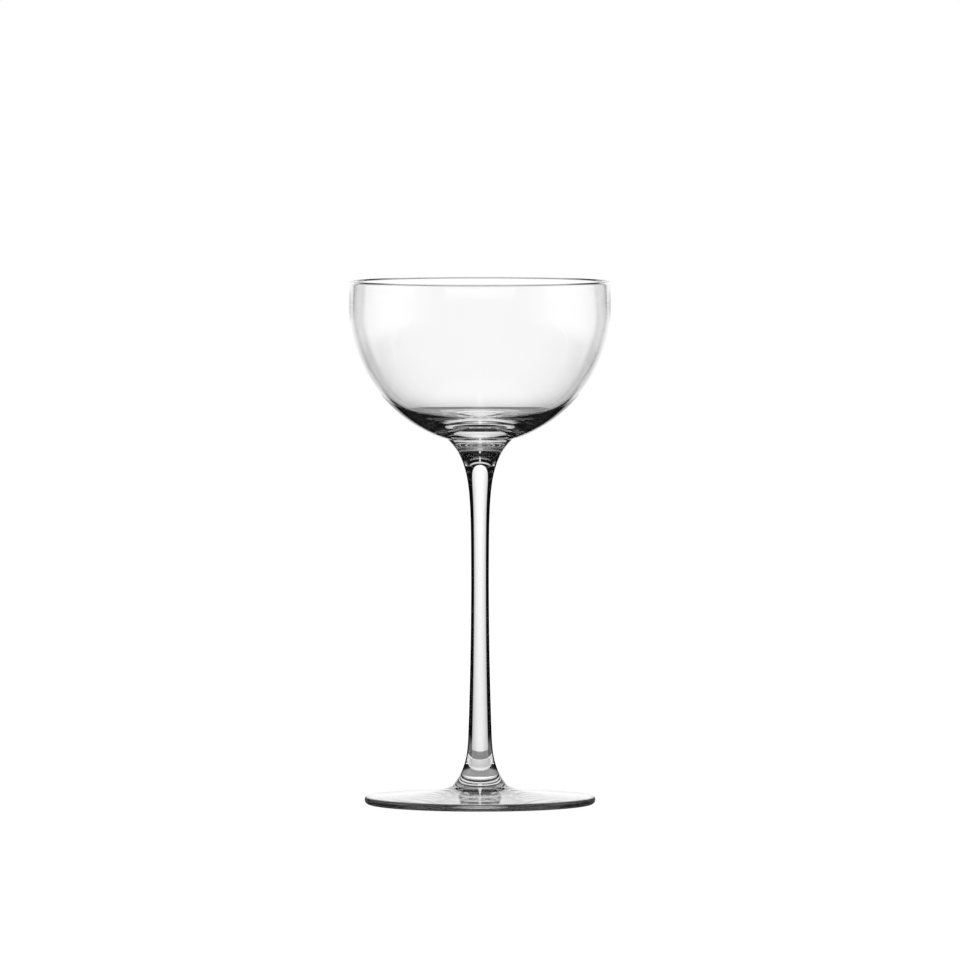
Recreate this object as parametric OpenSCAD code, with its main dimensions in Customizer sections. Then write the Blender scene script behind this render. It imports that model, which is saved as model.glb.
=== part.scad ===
// Small stemmed cocktail glass in clear, colourless glass. A round bowl is fused onto a drawn
// stem, and the stem is fused onto a round foot. The glass stands on Z = 0, with Z as its axis.
// Every piece is a turned form: its outline is drawn as [radius, height] and spun about Z.

/* [Overall] */
// Height from the table to the top of the rim
glass_h = 152; // [135:1:175]

/* [Bowl] */
// Widest outside diameter
bowl_d = 76; // [64:1:92]
// Height from the place where the outside curve would close on the axis, up to the rim
bowl_h = 47.4; // [40:0.2:58]
// How far the widest place lies under the rim
bowl_wide_drop = 8; // [4:0.5:12]
// How far the side draws in from the widest place to the rim
rim_draw_in = 0.15; // [0:0.05:0.6]
// Thickness of the fire-polished rim
rim_t = 1.5; // [1.2:0.05:2]
// Height below the rounding of the rim over which the wall swells to it
rim_swell_h = 12; // [8:0.5:18]
// Thickness of the wall from the widest place down, before the bottom thickens it
wall_t = 1.1; // [0.9:0.05:1.8]
// Thickness of the bottom on the axis, down to where the outside curve would close
bowl_base_t = 7.9; // [6:0.1:9]
// Diameter inside which the wall thickens toward the bottom
base_reach_d = 66.8; // [56:0.2:72]
// How sharply the thickening gathers toward the axis
base_power = 4.4; // [3:0.1:5.4]
// Fullness of the outside curve, where 2 is a true ellipse
outer_fullness = 1.94; // [1.86:0.02:2.1]

/* [Stem] */
// Diameter where the stem is fused to the bowl
stem_top_d = 19; // [15:0.5:23]
// Diameter at the narrowest place
stem_waist_d = 5.1; // [4:0.1:7]
// Height of the narrowest place above the table
stem_waist_h = 68; // [55:1:80]
// Diameter that the slow taper alone reaches at the foot
stem_taper_d = 8; // [7:0.2:10]
// Length in which the flare under the bowl falls to about a third
stem_neck_len = 6.4; // [4.5:0.1:8]
// Length of the flare above the foot
stem_flare_len = 16.7; // [12:0.1:22]
// How sharply the flare above the foot turns outward
stem_flare_power = 3.4; // [2.6:0.1:4]

/* [Foot] */
// Diameter of the foot
foot_d = 67; // [56:1:78]
// Thickness of the foot at its edge
foot_edge_t = 2.1; // [1.3:0.05:2.6]
// Height that the slope of the foot alone reaches at the stem
foot_slope_h = 3.85; // [3:0.05:4.8]
// Height of the top of the foot, where the stem is fused to it
foot_hub_h = 5.15; // [4.85:0.05:7]
// Diameter of the top of the foot
foot_hub_d = 16.4; // [13:0.2:20]
// Length in which the rise next to the stem falls to about a third
foot_rise_len = 3.7; // [2:0.1:6]
// Width of the ring that the glass rests on
rest_ring_w = 2.5; // [1.5:0.1:5]
// Height of the hollow under the foot, on the axis
foot_hollow_h = 0.6; // [0.2:0.05:1.2]

/* [Hidden] */
$fn = 180;
clear_glass = [0.84, 0.91, 0.93, 0.45];

// Numbers of straight steps that stand for each curve
bowl_steps = 48;
side_steps = 8;
lip_steps = 16;
stem_steps = 90;
foot_steps = 36;
corner_steps = 8;
hollow_steps = 24;

// Roundings of the foot's edge, as shares of its thickness
edge_top_share = 0.34;
edge_bottom_share = 0.55;

bowl_r = bowl_d / 2;
stem_top_r = stem_top_d / 2;
stem_waist_r = stem_waist_d / 2;
foot_r = foot_d / 2;
foot_hub_r = foot_hub_d / 2;

// Height of the widest place, and the outside curve's depth below it
wide_h = glass_h - bowl_wide_drop;
bowl_depth = bowl_h - bowl_wide_drop;
lip_r = rim_t / 2;
lip_h = glass_h - lip_r;

// The outside is an oval whose fullness can be set: its turning angle at a radius, and its points
function oval_angle(r) = asin(pow(r / bowl_r, outer_fullness / 2));
function oval_point(a) =
    [bowl_r * pow(sin(a), 2 / outer_fullness), wide_h - bowl_depth * pow(cos(a), 2 / outer_fullness)];
function oval_points(from_r) =
    let (first = oval_angle(from_r))
    [for (i = [0:bowl_steps]) oval_point(first + (90 - first) * i / bowl_steps)];

// Above the widest place the side draws in a little, up to the lip
side_points = [for (i = [1:side_steps])
    let (share = i / side_steps)
    [bowl_r - rim_draw_in * pow(share, 2), wide_h + (lip_h - wide_h) * share]];

// The wall thickens toward the axis into a solid bottom that is nearly flat inside, and swells
// gently toward the rim
function bottom_gain(r) =
    (bowl_base_t - wall_t) * pow(max(0, 1 - pow(2 * r / base_reach_d, 2)), base_power);
function rim_gain(h) =
    (rim_t - wall_t) * (1 - cos(180 * max(0, 1 - (lip_h - h) / rim_swell_h))) / 2;

// The inside lies one wall thickness from the outside, square to it
function square_in(point) =
    let (out = [pow(point[0] / bowl_r, outer_fullness - 1) / bowl_r,
                -pow(max(0, wide_h - point[1]) / bowl_depth, outer_fullness - 1) / bowl_depth])
    -out / norm(out);
inside_points = [for (point = concat(oval_points(0), side_points))
    point + (wall_t + bottom_gain(point[0]) + rim_gain(point[1])) * square_in(point)];

// Part of a circle, from one angle to another
function arc_points(centre, radius, from_a, to_a, steps) =
    [for (i = [0:steps])
        let (a = from_a + (to_a - from_a) * i / steps)
        centre + radius * [cos(a), sin(a)]];

function backwards(points) = [for (i = [len(points) - 1:-1:0]) points[i]];

// The stem meets the bowl where the bowl's outside curve has the stem's top diameter
joint_h = oval_point(oval_angle(stem_top_r))[1];

// Radius of the stem at a height: its waist, the neck under the bowl, the slow taper down to
// the foot, and the flare above the foot
function neck_r(h) = (stem_top_r - stem_waist_r) * exp((h - joint_h) / stem_neck_len);
taper_gain = stem_taper_d / 2 - stem_waist_r;
function taper_r(h) = taper_gain * pow(max(0, stem_waist_h - h) / (stem_waist_h - foot_hub_h), 2);
flare_gain = foot_hub_r - stem_taper_d / 2;
function flare_r(h) = flare_gain * pow(max(0, 1 - (h - foot_hub_h) / stem_flare_len), stem_flare_power);
function stem_r(h) = stem_waist_r + neck_r(h) + taper_r(h) + flare_r(h);

// Steps are closer together near the two ends of the stem, where it turns fastest
function stem_points() =
    [for (i = [0:stem_steps])
        let (share = (1 - cos(180 * i / stem_steps)) / 2, h = foot_hub_h + (joint_h - foot_hub_h) * share)
        [stem_r(h), h]];

// Height of the foot's top at a radius: a plain slope from the edge, and the rise to the stem
slope_fall = (foot_slope_h - foot_edge_t) / (foot_r - foot_hub_r);
slope_a = atan(slope_fall);
function foot_top_h(r) =
    foot_edge_t + slope_fall * (foot_r - r)
    + (foot_hub_h - foot_slope_h) * exp((foot_hub_r - r) / foot_rise_len);

edge_top_r = foot_edge_t * edge_top_share;
edge_bottom_r = foot_edge_t * edge_bottom_share;
top_end_r = foot_r - edge_top_r * (1 - sin(slope_a));
edge_top_centre = [foot_r - edge_top_r, foot_top_h(top_end_r) - edge_top_r * cos(slope_a)];
edge_bottom_centre = [foot_r - edge_bottom_r, edge_bottom_r];
hollow_r = foot_r - edge_bottom_r - rest_ring_w;

// Points of the foot's top are closer together near the stem
function foot_top_points() =
    [for (i = [0:foot_steps - 1])
        let (r = foot_hub_r + (top_end_r - foot_hub_r) * pow(i / foot_steps, 2))
        [r, foot_top_h(r)]];

function hollow_points() =
    [for (i = [0:hollow_steps])
        let (share = 1 - i / hollow_steps)
        [hollow_r * share, foot_hollow_h * (1 + cos(180 * share)) / 2]];

module bowl() {
    lip_centre = [bowl_r - rim_draw_in - lip_r, lip_h];
    color(clear_glass)
        rotate_extrude()
            polygon(concat(
                [[0, joint_h]],
                oval_points(stem_top_r),
                side_points,
                arc_points(lip_centre, lip_r, 180 / lip_steps, 180 - 180 / lip_steps, lip_steps - 2),
                backwards(inside_points)
            ));
}

module stem() {
    color(clear_glass)
        rotate_extrude()
            polygon(concat([[0, foot_hub_h]], stem_points(), [[0, joint_h]]));
}

module foot() {
    color(clear_glass)
        rotate_extrude()
            polygon(concat(
                foot_top_points(),
                arc_points(edge_top_centre, edge_top_r, 90 - slope_a, 0, corner_steps),
                arc_points(edge_bottom_centre, edge_bottom_r, 0, -90, corner_steps),
                hollow_points(),
                [[0, foot_hub_h]]
            ));
}

bowl();
stem();
foot();
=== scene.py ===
"""A small stemmed cocktail glass of clear glass in a photographer's studio. The bowl, the stem and
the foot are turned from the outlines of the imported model. Round them stands what such glass shows: a
white sheet of light behind it, darkness at its sides and a pale table under it."""

import math

import bpy
import numpy as np
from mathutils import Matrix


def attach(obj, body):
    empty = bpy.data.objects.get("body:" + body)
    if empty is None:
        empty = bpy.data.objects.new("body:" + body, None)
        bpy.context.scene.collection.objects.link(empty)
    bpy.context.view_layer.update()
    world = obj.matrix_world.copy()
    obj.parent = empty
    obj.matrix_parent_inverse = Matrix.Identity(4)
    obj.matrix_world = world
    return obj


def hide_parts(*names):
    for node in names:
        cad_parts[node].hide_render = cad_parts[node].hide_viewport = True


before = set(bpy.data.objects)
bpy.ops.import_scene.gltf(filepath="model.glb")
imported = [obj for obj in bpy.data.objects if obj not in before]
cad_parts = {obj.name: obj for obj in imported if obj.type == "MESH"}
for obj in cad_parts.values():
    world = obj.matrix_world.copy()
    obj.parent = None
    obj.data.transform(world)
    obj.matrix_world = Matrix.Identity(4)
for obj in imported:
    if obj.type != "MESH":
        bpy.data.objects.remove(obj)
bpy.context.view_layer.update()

# The camera: a long lens far off, a little above the rim, as the photograph's ellipses say
CAMERA_AWAY = 3.645
CAMERA_H = 0.264
AIM_H = 0.09416
LENS = 471.4
SENSOR = 36

# How finely the turned pieces are made: segments round the axis, and the longest step and the
# largest turn along an outline. Points nearer than the same place are one point, and a point where
# the outline turns less than the least turn is left out.
SEGMENTS = 192
MOST_STEP = 0.0004
MOST_TURN = math.radians(4)
SAME_PLACE = 1e-7
LEAST_TURN = 1e-4

# How often a look may be mirrored or bent in the glass, and pass what lets it through
MOST_BOUNCES = 32
MOST_PASSED = 64

# Clear glass: how it bends light, and how much of a lamp's light its shadow lets through
GLASS_IOR = 1.5
SHADOW_PASS = 0.86

# The slant past which the slender stem is painted dark for the camera, a painted shade for the dark of
# the studio's sides, and how far its flared ends may face up or down and still have it. Each soft
# value is half the width of an edge here.
STEM_SLANT = 0.60
STEM_SLANT_SOFT = 0.03
STEM_FLARE = 0.425
STEM_FLARE_SOFT = 0.125

# The upright edge of the foot is painted with that shade too, but for its middle: how little the glass
# faces up there, how far from the middle the painted shade is whole, and how dark it is
EDGE_UPRIGHT = 0.825
EDGE_UPRIGHT_SOFT = 0.175
EDGE_ASIDE = 0.04
EDGE_PAINTED_SHADE = 0.85

# Angles round the axis count from the direction that the camera looks in, in degrees. Each of four
# sides has a sheet of light in its middle.
SIDE_HALF = 45
AHEAD_HALF = 90

# The sheet of light behind the glass, as the glass shows it: its distance, half its width as an
# angle, its lower edge, the height where its rounded top begins, its top, its brightness, the share
# of it that is lost toward the sides, and the height below which it fades and how fast
SHEET_R = 0.724
SHEET_HALF = 30.5
SHEET_LOW = -0.138
SHEET_SHOULDER = 0.10
SHEET_TOP = 0.37
SHEET_SOFT = 0.006
SHEET_ROUND_SOFT = 0.03
SHEET_LIGHT = 1.10
SHEET_FALL = 0.52
SHEET_FADE_H = 0.06
SHEET_FADE = 1.3

# Above it a second, narrow and dimmer sheet
BAND_LOW = 0.405
BAND_TOP = 0.45
BAND_SHARE = 0.75

# The sheets of light for the other sides, met by straight looks, and by looks that the top of the foot
# mirrors upward, from a small rise per length on
SIDE_TOP = 0.20
SIDE_ROUND_SOFT = 1
SIDE_RISING = 0.03

# A strip of light that runs on from above the sheet to overhead: its lower end in degrees, and half
# its width as a share of a look's length
STRIP_ABOVE = 26
STRIP_ABOVE_SOFT = 1
STRIP_HALF = 0.027
STRIP_HALF_SOFT = 0.0081
STRIP_LIGHT = 0.75

# What only looks that are mirrored twice and more in the glass meet: light overhead, which fades as
# it turns from the camera's plane, and the white table close to the foot
OVERHEAD_ABOVE = 45
OVERHEAD_ABOVE_SOFT = 3
OVERHEAD_ASIDE = 25
OVERHEAD_ASIDE_SOFT = 20
OVERHEAD_LIGHT = 0.45
NEAR_R = 0.12
NEAR_LOW = -0.02
NEAR_TOP = 0.045
NEAR_LIGHT = 0.9

# White beside the bowl, which is met by looks that are mirrored once on its thin wall: its distance,
# its lower and upper edge, and the range round the axis
WALL_R = 0.15
WALL_LOW = 0.085
WALL_TOP = 0.20
WALL_SOFT = 0.015
WALL_FROM = 30
WALL_FROM_SOFT = 4
WALL_TO = 115
WALL_TO_SOFT = 25
WALL_LIGHT = 0.9

# The pale table, which is white past an angle from straight ahead. Mirrored looks show it less
# bright, and hardly at all past its middle.
TABLE_H = -0.154
TABLE_R = 0.459
TABLE_LIGHT = 0.62
TABLE_ASIDE = 36
TABLE_ASIDE_SOFT = 8
TABLE_MIRRORED = 0.32
TABLE_MIRRORED_FAR = 0.02
TABLE_MIDDLE = 0.175
TABLE_MIDDLE_SOFT = 0.045

# What lies round the table: grey below the sheets, and nearly black elsewhere
GAP_LIGHT = 0.24
GAP_SIDE_LIGHT = 0.07
GAP_HALF = 28
GAP_HALF_SOFT = 3
GAP_BELOW = -7.5
GAP_BELOW_SOFT = 1
DARK = 0.004

# White between the sheets for straight looks that fall, and more steeply so in the half ahead
SLANT_BELOW = -4
SLANT_AHEAD_BELOW = -19
SLANT_BELOW_SOFT = 1
SLANT_HALF = 18
SLANT_HALF_SOFT = 2
SLANT_LIGHT = 1.0

# Steps round the rings and the table, whose form shows only as light
RING_STEPS = 180
TABLE_STEPS = 128

# The floor: its size, its depth under the rest ring, its own light near the glass, where that light
# rises to white, its colour under the lamp, and how steeply a look must fall to see it through the
# glass
FLOOR_HALF = 3.0
FLOOR_DROP = 2e-5
FLOOR_GLOW = 0.93
FLOOR_NEAR = 0.06
FLOOR_FAR = 0.20
FLOOR_COLOUR = 0.12
FLOOR_STEEP = 45
FLOOR_STEEP_SOFT = 5

# The lamp: wide, soft and overhead
LAMP_SIZE = 1.2
LAMP_H = 1.6
LAMP_POWER = 16


class Field:
    """A number that a shader works out at each point, so that a formula reads as one."""

    def __init__(self, tree, socket):
        self.tree = tree
        self.socket = socket

    def math(self, operation, *others):
        made = self.tree.nodes.new("ShaderNodeMath")
        made.operation = operation
        for slot, value in zip(made.inputs, (self,) + others):
            if isinstance(value, Field):
                self.tree.links.new(value.socket, slot)
            else:
                slot.default_value = value
        return Field(self.tree, made.outputs[0])

    def __add__(self, other):
        return self.math("ADD", other)

    def __sub__(self, other):
        return self.math("SUBTRACT", other)

    def __mul__(self, other):
        return self.math("MULTIPLY", other)

    def __truediv__(self, other):
        return self.math("DIVIDE", other)

    def rise(self, start, end):
        """0 before start and 1 after end, smoothly between; it falls instead where end is less."""
        made = self.tree.nodes.new("ShaderNodeMapRange")
        made.interpolation_type = "SMOOTHSTEP"
        made.inputs["From Min"].default_value = min(start, end)
        made.inputs["From Max"].default_value = max(start, end)
        made.inputs["To Min"].default_value = float(start > end)
        made.inputs["To Max"].default_value = float(start < end)
        self.tree.links.new(self.socket, made.inputs["Value"])
        return Field(self.tree, made.outputs["Result"])

    def above(self, edge, soft):
        """1 above the edge and 0 below it."""
        return self.rise(edge - soft, edge + soft)

    def below(self, edge, soft):
        """1 below the edge and 0 above it."""
        return self.rise(edge + soft, edge - soft)

    def is_above(self, edge):
        """The same with a sharp edge."""
        return self.math("GREATER_THAN", edge)

    def is_below(self, edge):
        return self.math("LESS_THAN", edge)

    def size(self):
        return self.math("ABSOLUTE")

    def squared(self):
        return self * self

    def root(self):
        return self.math("SQRT")

    def rest(self):
        """What is left of 1."""
        return self * -1 + 1

    def most(self, other):
        return self.math("MAXIMUM", other)

    def least(self, other):
        return self.math("MINIMUM", other)

    def towards(self, other, share):
        """This number where share is 0 and the other one where share is 1."""
        return self * share.rest() + share * other


def new_tree(owner):
    owner.use_nodes = True
    owner.node_tree.nodes.clear()
    return owner.node_tree


def add_node(tree, kind, **values):
    """A node, with each named value set on its socket of that name, or linked where it is a socket."""
    made = tree.nodes.new(kind)
    for name, value in values.items():
        slot = made.inputs[name.replace("_", " ")]
        if isinstance(value, Field):
            tree.links.new(value.socket, slot)
        elif isinstance(value, bpy.types.NodeSocket):
            tree.links.new(value, slot)
        else:
            slot.default_value = value
    return made


def mixed(tree, share, first, second):
    """The first shader where share is 0, and the second where it is 1."""
    made = tree.nodes.new("ShaderNodeMixShader")
    tree.links.new(share.socket, made.inputs[0])
    tree.links.new(first, made.inputs[1])
    tree.links.new(second, made.inputs[2])
    return made.outputs[0]


def light_path(tree, name):
    return Field(tree, tree.nodes.new("ShaderNodeLightPath").outputs[name])


def white(strength):
    return (strength, strength, strength, 1)


def new_material(name):
    material = bpy.data.materials.new(name)
    return material, new_tree(material)


def finish_material(tree, shader):
    output = tree.nodes.new("ShaderNodeOutputMaterial")
    tree.links.new(shader, output.inputs["Surface"])


def finish_light(tree, shown, strength):
    """Light of this strength where shown is 1, and nothing at all where it is 0."""
    empty = add_node(tree, "ShaderNodeBsdfTransparent").outputs[0]
    light = add_node(tree, "ShaderNodeEmission", Strength=strength).outputs[0]
    finish_material(tree, mixed(tree, shown, empty, light))


def place_of(tree):
    """The x, y and z of the point being shaded, in the frame of the model."""
    where = tree.nodes.new("ShaderNodeNewGeometry").outputs["Position"]
    parts = add_node(tree, "ShaderNodeSeparateXYZ", Vector=where)
    return [Field(tree, parts.outputs[i]) for i in range(3)]


def fall_of_look(tree):
    """How far the look that meets this point falls over its length. It is less than 0 if it rises."""
    incoming = tree.nodes.new("ShaderNodeNewGeometry").outputs["Incoming"]
    return Field(tree, add_node(tree, "ShaderNodeSeparateXYZ", Vector=incoming).outputs["Z"])


def turned_degrees(x, y):
    """Degrees round the axis from the direction that the camera looks in."""
    return x.math("ARCTAN2", y) * math.degrees(1)


# Outlines, and the pieces turned from them
def grouped(values):
    """A number for each value, the same one for values in the same place."""
    order = np.argsort(values)
    steps = np.diff(values[order]) > SAME_PLACE
    groups = np.empty(len(values), int)
    groups[order] = np.concatenate([[0], np.cumsum(steps)])
    return groups


def outline_of(node):
    """The node's outline as [radius, height] points in order, from one end of its curve to the other.
    Every CAD solid here is a turned form, so each ring of its mesh is one point."""
    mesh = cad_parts[node].data
    places = np.zeros(len(mesh.vertices) * 3)
    mesh.vertices.foreach_get("co", places)
    places = places.reshape(-1, 3)
    radii = np.hypot(places[:, 0], places[:, 1])
    heights = places[:, 2]
    pairs = np.stack([grouped(radii), grouped(heights)], 1)
    rings, ring_of = np.unique(pairs, axis=0, return_inverse=True)
    ring_of = ring_of.ravel()
    counts = np.bincount(ring_of)
    points = np.stack([np.bincount(ring_of, radii), np.bincount(ring_of, heights)], 1) / counts[:, None]
    edges = np.zeros(len(mesh.edges) * 2, int)
    mesh.edges.foreach_get("vertices", edges)
    links = [set() for _ in rings]
    for a, b in ring_of[edges].reshape(-1, 2):
        if a != b:
            links[a].add(b)
            links[b].add(a)
    ends = [i for i, near in enumerate(links) if len(near) == 1]
    path = [max(ends, key=lambda i: points[i][0])]
    while True:
        onward = [i for i in links[path[-1]] if i not in path]
        if not onward:
            return points[path]
        path.append(onward[0])


def without_straight_points(points):
    """The points at which the outline turns, and its two ends."""
    steps = np.diff(points, axis=0)
    angles = np.arctan2(steps[:, 1], steps[:, 0])
    turns = np.abs((np.diff(angles) + math.pi) % (2 * math.pi) - math.pi)
    return points[np.concatenate([[True], turns > LEAST_TURN, [True]])]


def smooth_outline(points):
    """A fine smooth curve through the points: each stretch is a cubic whose slopes at its ends are
    those of the parabola through three neighbours."""
    points = without_straight_points(points)
    steps = np.diff(points, axis=0)
    lengths = np.hypot(steps[:, 0], steps[:, 1])[:, None]
    ways = steps / lengths
    before, after = lengths[:-1], lengths[1:]
    inner = (ways[:-1] * after + ways[1:] * before) / (before + after)
    slopes = np.concatenate([2 * ways[:1] - inner[:1], inner, 2 * ways[-1:] - inner[-1:]])
    fine = [points[:1]]
    for i, length in enumerate(lengths[:, 0]):
        turn = math.acos(min(1, float(slopes[i] @ slopes[i + 1])
                             / float(np.linalg.norm(slopes[i]) * np.linalg.norm(slopes[i + 1]))))
        count = math.ceil(max(length / MOST_STEP, turn / MOST_TURN))
        t = np.linspace(0, 1, count + 1)[1:, None]
        fine.append((2 * t ** 3 - 3 * t ** 2 + 1) * points[i] + (3 * t ** 2 - 2 * t ** 3) * points[i + 1]
                    + length * ((t ** 3 - 2 * t ** 2 + t) * slopes[i] + (t ** 3 - t ** 2) * slopes[i + 1]))
    return np.clip(np.concatenate(fine), points.min(0), points.max(0))


def turned(name, outline, materials):
    """A closed piece turned from an outline. An end that is off the axis is closed by a flat disc,
    which takes the second material."""
    outward = np.sum((outline[:-1, 0] + outline[1:, 0]) * np.diff(outline[:, 1]))
    if outward < 0:
        outline = outline[::-1]
    round_angles = 2 * math.pi * np.arange(SEGMENTS) / SEGMENTS
    vertices, rings = [], []
    for radius, height in outline:
        start = len(vertices)
        if radius < SAME_PLACE:
            vertices.append((0, 0, height))
            rings.append([start] * SEGMENTS)
        else:
            vertices += [(radius * math.cos(a), radius * math.sin(a), height) for a in round_angles]
            rings.append(list(range(start, start + SEGMENTS)))
    faces = []
    for low, high in zip(rings, rings[1:]):
        for i in range(SEGMENTS):
            j = (i + 1) % SEGMENTS
            face = dict.fromkeys((low[i], low[j], high[j], high[i]))
            faces.append(tuple(face))
    walls = len(faces)
    if len(set(rings[0])) > 1:
        faces.append(tuple(reversed(rings[0])))
    if len(set(rings[-1])) > 1:
        faces.append(tuple(rings[-1]))
    mesh = bpy.data.meshes.new(name)
    mesh.from_pydata(vertices, [], faces)
    for material in materials:
        mesh.materials.append(material)
    mesh.polygons.foreach_set("use_smooth", [i < walls for i in range(len(faces))])
    mesh.polygons.foreach_set("material_index", [int(i >= walls) for i in range(len(faces))])
    mesh.update()
    piece = bpy.data.objects.new(name, mesh)
    bpy.context.scene.collection.objects.link(piece)
    return piece


# Materials of the glass
def slant_of(tree):
    """0 where the glass faces the look that meets it, and 1 where the look grazes it."""
    return Field(tree, add_node(tree, "ShaderNodeLayerWeight", Blend=0.5).outputs["Facing"])


def upward_of(tree):
    """How far the glass faces up, 1 at the most, or down, -1 at the least."""
    normal = tree.nodes.new("ShaderNodeNewGeometry").outputs["Normal"]
    return Field(tree, add_node(tree, "ShaderNodeSeparateXYZ", Vector=normal).outputs["Z"])


def painted_shade_on_stem_sides(tree):
    """Painted shade: 1 at the outer sides of the stem, where the glass is painted dark, except where its
    ends flare.
    """
    aside = slant_of(tree).above(STEM_SLANT, STEM_SLANT_SOFT)
    return aside * upward_of(tree).size().below(STEM_FLARE, STEM_FLARE_SOFT)


def painted_shade_on_foot_edge(tree):
    """The painted shade on the foot's upright edge, which its middle hasn't."""
    upright = upward_of(tree).below(EDGE_UPRIGHT, EDGE_UPRIGHT_SOFT)
    return upright * slant_of(tree).rise(0, EDGE_ASIDE) * EDGE_PAINTED_SHADE


def clear_glass(name, darkness=None):
    """Smooth colourless glass, which lets most of a lamp's light through to what it shades. Where the
    darkness is 1, its colour is painted black for the camera, a painted shade."""
    material, tree = new_material(name)
    glass = add_node(tree, "ShaderNodeBsdfGlass", Color=white(1), Roughness=0, IOR=GLASS_IOR)
    if darkness:
        # Painted shade: the glass's own colour is darkened for camera looks where the mask is 1
        lit = (darkness(tree) * light_path(tree, "Is Camera Ray")).rest()
        tree.links.new(lit.socket, glass.inputs["Color"])
    passing = add_node(tree, "ShaderNodeBsdfTransparent", Color=white(SHADOW_PASS))
    shade = light_path(tree, "Is Shadow Ray")
    finish_material(tree, mixed(tree, shade, glass.outputs[0], passing.outputs[0]))
    return material


def fused_joint():
    """The disc in which two pieces are fused: the glass goes on through it, so it isn't seen."""
    material, tree = new_material("fused_joint")
    finish_material(tree, add_node(tree, "ShaderNodeBsdfTransparent").outputs[0])
    return material


# What a look has gone through before it leaves the glass
def straight_look(tree):
    """1 for a look that has only been bent on its way through the glass, 0 once it has been mirrored."""
    return light_path(tree, "Glossy Depth").is_below(0.5)


def mirrored_twice(tree):
    """1 for a look that has been mirrored twice or more."""
    return light_path(tree, "Glossy Depth").is_above(1.5)


def mirrored_once(tree):
    return (straight_look(tree) + mirrored_twice(tree)).rest()


def never_inside(tree):
    """1 for a look that has passed no surface of the glass."""
    return light_path(tree, "Transmission Depth").is_below(0.5)


def through_the_bowl(tree):
    """1 for a look that has passed four surfaces or more, as on its way past a wall and back."""
    return light_path(tree, "Transmission Depth").is_above(3.5)


# The studio
def circle(radius, steps):
    """Places round the axis, from the direction that the camera looks in."""
    angles = [2 * math.pi * i / steps for i in range(steps)]
    return [(radius * math.sin(a), radius * math.cos(a)) for a in angles]


def stage_object(name, vertices, faces, material):
    mesh = bpy.data.meshes.new(name)
    mesh.from_pydata(vertices, [], faces)
    mesh.materials.append(material)
    made = bpy.data.objects.new(name, mesh)
    bpy.context.scene.collection.objects.link(made)


def upright_ring(name, radius, low_h, high_h, material):
    vertices = [(x, y, h) for x, y in circle(radius, RING_STEPS) for h in (low_h, high_h)]
    faces = []
    for i in range(RING_STEPS):
        j = (i + 1) % RING_STEPS
        faces.append((2 * i, 2 * j, 2 * j + 1, 2 * i + 1))
    stage_object(name, vertices, faces, material)


def sheets_of_light():
    """A ring of sheets of light: the main one behind the glass, and plain ones for the other sides."""
    material, tree = new_material("sheets_of_light")
    x, y, z = place_of(tree)
    degrees = turned_degrees(x, y)
    raised = z.above(SHEET_LOW, SHEET_SOFT)
    out = degrees.size() / SHEET_HALF
    up = (z - SHEET_SHOULDER).most(0) / (SHEET_TOP - SHEET_SHOULDER)
    main = (out.squared() + up.squared()).root().below(1, SHEET_ROUND_SOFT) * raised
    band = out.below(1, SHEET_ROUND_SOFT) * z.above(BAND_LOW, SHEET_SOFT) * z.below(BAND_TOP, SHEET_SOFT)
    main = main + band * BAND_SHARE
    side = degrees.math("PINGPONG", SIDE_HALF).below(SHEET_HALF, SIDE_ROUND_SOFT)
    side = side * raised * z.below(SIDE_TOP, SHEET_SOFT)
    off_the_foot = mirrored_once(tree) * never_inside(tree) * fall_of_look(tree).rise(0, -SIDE_RISING)
    side = side * straight_look(tree).most(off_the_foot)
    ahead = degrees.size().is_below(SIDE_HALF)
    shown = side.towards(main, ahead) * light_path(tree, "Is Camera Ray").rest()
    light = (out.least(1).squared() * ahead * -SHEET_FALL + 1) * SHEET_LIGHT
    light = light * ((z * -1 + SHEET_FADE_H).most(0) * -SHEET_FADE + 1)
    finish_light(tree, shown, light)
    upright_ring("sheets_of_light", SHEET_R, SHEET_LOW - SHEET_SOFT, BAND_TOP + SHEET_SOFT, material)


def white_near_the_foot():
    material, tree = new_material("white_near_the_foot")
    finish_light(tree, mirrored_twice(tree), NEAR_LIGHT)
    upright_ring("white_near_the_foot", NEAR_R, NEAR_LOW, NEAR_TOP, material)


def white_beside_the_bowl():
    material, tree = new_material("white_beside_the_bowl")
    x, y, z = place_of(tree)
    aside = turned_degrees(x, y).size()
    shown = aside.above(WALL_FROM, WALL_FROM_SOFT) * aside.below(WALL_TO, WALL_TO_SOFT)
    shown = shown * z.above(WALL_LOW + WALL_SOFT, WALL_SOFT) * z.below(WALL_TOP - WALL_SOFT, WALL_SOFT)
    shown = shown * mirrored_once(tree) * never_inside(tree).most(through_the_bowl(tree))
    finish_light(tree, shown, WALL_LIGHT)
    upright_ring("white_beside_the_bowl", WALL_R, WALL_LOW, WALL_TOP, material)


def pale_table():
    """The table that the glass shows under the sheet of light. The camera doesn't see it."""
    material, tree = new_material("pale_table")
    x, y = place_of(tree)[:2]
    away = (x.squared() + y.squared()).root()
    middle = away.below(TABLE_MIDDLE, TABLE_MIDDLE_SOFT)
    mirrored = middle * (TABLE_MIRRORED - TABLE_MIRRORED_FAR) + TABLE_MIRRORED_FAR
    aside = turned_degrees(x, y).size().above(TABLE_ASIDE, TABLE_ASIDE_SOFT)
    straight = aside * (1 - TABLE_LIGHT) + TABLE_LIGHT
    light = mirrored.towards(straight, straight_look(tree))
    finish_light(tree, light_path(tree, "Is Camera Ray").rest(), light)
    vertices = [(x, y, TABLE_H) for x, y in circle(TABLE_R, TABLE_STEPS)]
    stage_object("pale_table", vertices, [tuple(range(TABLE_STEPS))], material)


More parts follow.
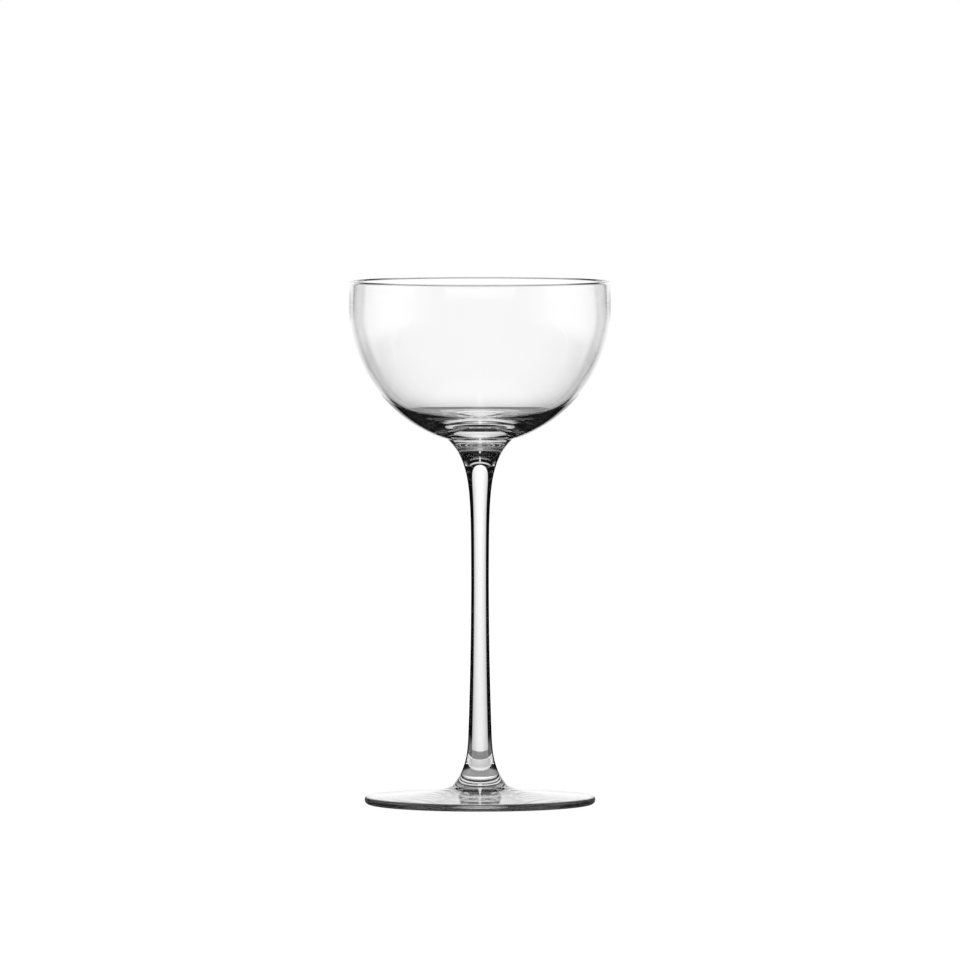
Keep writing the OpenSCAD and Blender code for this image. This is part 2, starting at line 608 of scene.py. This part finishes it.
def surroundings():
    """The world: white to the camera, and to the glass dark, with the grey gap under the sheet."""
    world = bpy.data.worlds.new("surroundings")
    bpy.context.scene.world = world
    tree = new_tree(world)
    way = tree.nodes.new("ShaderNodeTexCoord").outputs["Generated"]
    parts = add_node(tree, "ShaderNodeSeparateXYZ", Vector=way)
    x, y, z = (Field(tree, parts.outputs[i]) for i in range(3))
    degrees = turned_degrees(x, y)
    in_side = degrees.math("PINGPONG", SIDE_HALF)
    rise = z.math("ARCSINE") * math.degrees(1)
    straight = straight_look(tree)
    gap = in_side.below(GAP_HALF, GAP_HALF_SOFT) * (GAP_LIGHT - GAP_SIDE_LIGHT) + GAP_SIDE_LIGHT
    gap = gap * rise.below(GAP_BELOW, GAP_BELOW_SOFT) * straight
    steep = rise.below(SLANT_BELOW, SLANT_BELOW_SOFT) * degrees.size().is_above(AHEAD_HALF)
    steep = steep.most(rise.below(SLANT_AHEAD_BELOW, SLANT_BELOW_SOFT))
    slant = (in_side * -1 + SIDE_HALF).below(SLANT_HALF, SLANT_HALF_SOFT) * steep * straight
    overhead = rise.above(OVERHEAD_ABOVE, OVERHEAD_ABOVE_SOFT) * mirrored_twice(tree)
    overhead = overhead * degrees.math("PINGPONG", AHEAD_HALF).below(OVERHEAD_ASIDE, OVERHEAD_ASIDE_SOFT)
    strip = rise.above(STRIP_ABOVE, STRIP_ABOVE_SOFT) * x.size().below(STRIP_HALF, STRIP_HALF_SOFT)
    strip = strip * straight.most(y.is_above(0))
    level = gap.towards(SLANT_LIGHT, slant).most(overhead * OVERHEAD_LIGHT).most(strip * STRIP_LIGHT)
    level = level.most(DARK).towards(1, light_path(tree, "Is Camera Ray"))
    background = add_node(tree, "ShaderNodeBackground", Color=level)
    output = tree.nodes.new("ShaderNodeOutputWorld")
    tree.links.new(background.outputs[0], output.inputs["Surface"])


def floor():
    """The white floor, which keeps the soft shadow of the glass. Looks through the glass pass it unless
    they fall steeply, as in the photograph, where the glass shows the edge of the sheet of light."""
    material, tree = new_material("white_floor")
    x, y = place_of(tree)[:2]
    far = (x.squared() + y.squared()).root().rise(FLOOR_NEAR, FLOOR_FAR)
    matt = add_node(tree, "ShaderNodeBsdfDiffuse", Color=white(FLOOR_COLOUR))
    glow = add_node(tree, "ShaderNodeEmission", Strength=far * (1 - FLOOR_GLOW) + FLOOR_GLOW)
    lit = tree.nodes.new("ShaderNodeAddShader")
    tree.links.new(matt.outputs[0], lit.inputs[0])
    tree.links.new(glow.outputs[0], lit.inputs[1])
    empty = add_node(tree, "ShaderNodeBsdfTransparent").outputs[0]
    fall_degrees = fall_of_look(tree).math("ARCSINE") * math.degrees(1)
    steep = fall_degrees.above(FLOOR_STEEP, FLOOR_STEEP_SOFT) * straight_look(tree)
    through = light_path(tree, "Is Transmission Ray").most(light_path(tree, "Is Glossy Ray"))
    finish_material(tree, mixed(tree, through * steep.rest(), lit.outputs[0], empty))
    ways = ((-1, -1), (1, -1), (1, 1), (-1, 1))
    corners = [(x * FLOOR_HALF, y * FLOOR_HALF, -FLOOR_DROP) for x, y in ways]
    stage_object("white_floor", corners, [(0, 1, 2, 3)], material)


def overhead_lamp():
    lamp = bpy.data.lights.new("overhead_lamp", "AREA")
    lamp.shape = "DISK"
    lamp.size = LAMP_SIZE
    lamp.energy = LAMP_POWER
    made = bpy.data.objects.new("overhead_lamp", lamp)
    made.location = (0, 0, LAMP_H)
    made.visible_glossy = False
    made.visible_transmission = False
    bpy.context.scene.collection.objects.link(made)


def camera():
    data = bpy.data.cameras.new("camera")
    data.lens = LENS
    data.sensor_width = SENSOR
    made = bpy.data.objects.new("camera", data)
    down = math.atan((CAMERA_H - AIM_H) / CAMERA_AWAY)
    made.location = (0, -CAMERA_AWAY, CAMERA_H)
    made.rotation_euler = (math.pi / 2 - down, 0, 0)
    bpy.context.scene.collection.objects.link(made)
    bpy.context.scene.camera = made


joint = fused_joint()
# The stem and the foot get painted shade in their glass colour: dark sides on the stem, a dark edge on the
# foot
for node, darkness in (("bowl", None), ("stem", painted_shade_on_stem_sides), ("foot", painted_shade_on_foot_edge)):
    glass = clear_glass("clear_glass_of_the_" + node, darkness)
    piece = turned("glass_" + node, smooth_outline(outline_of(node)), [glass, joint])
    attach(piece, "root")
    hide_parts(node)

floor()
sheets_of_light()
white_near_the_foot()
white_beside_the_bowl()
pale_table()
surroundings()
overhead_lamp()
camera()

scene = bpy.context.scene
scene.view_settings.view_transform = "Standard"
scene.cycles.max_bounces = MOST_BOUNCES
scene.cycles.glossy_bounces = MOST_BOUNCES
scene.cycles.transmission_bounces = MOST_BOUNCES
scene.cycles.transparent_max_bounces = MOST_PASSED
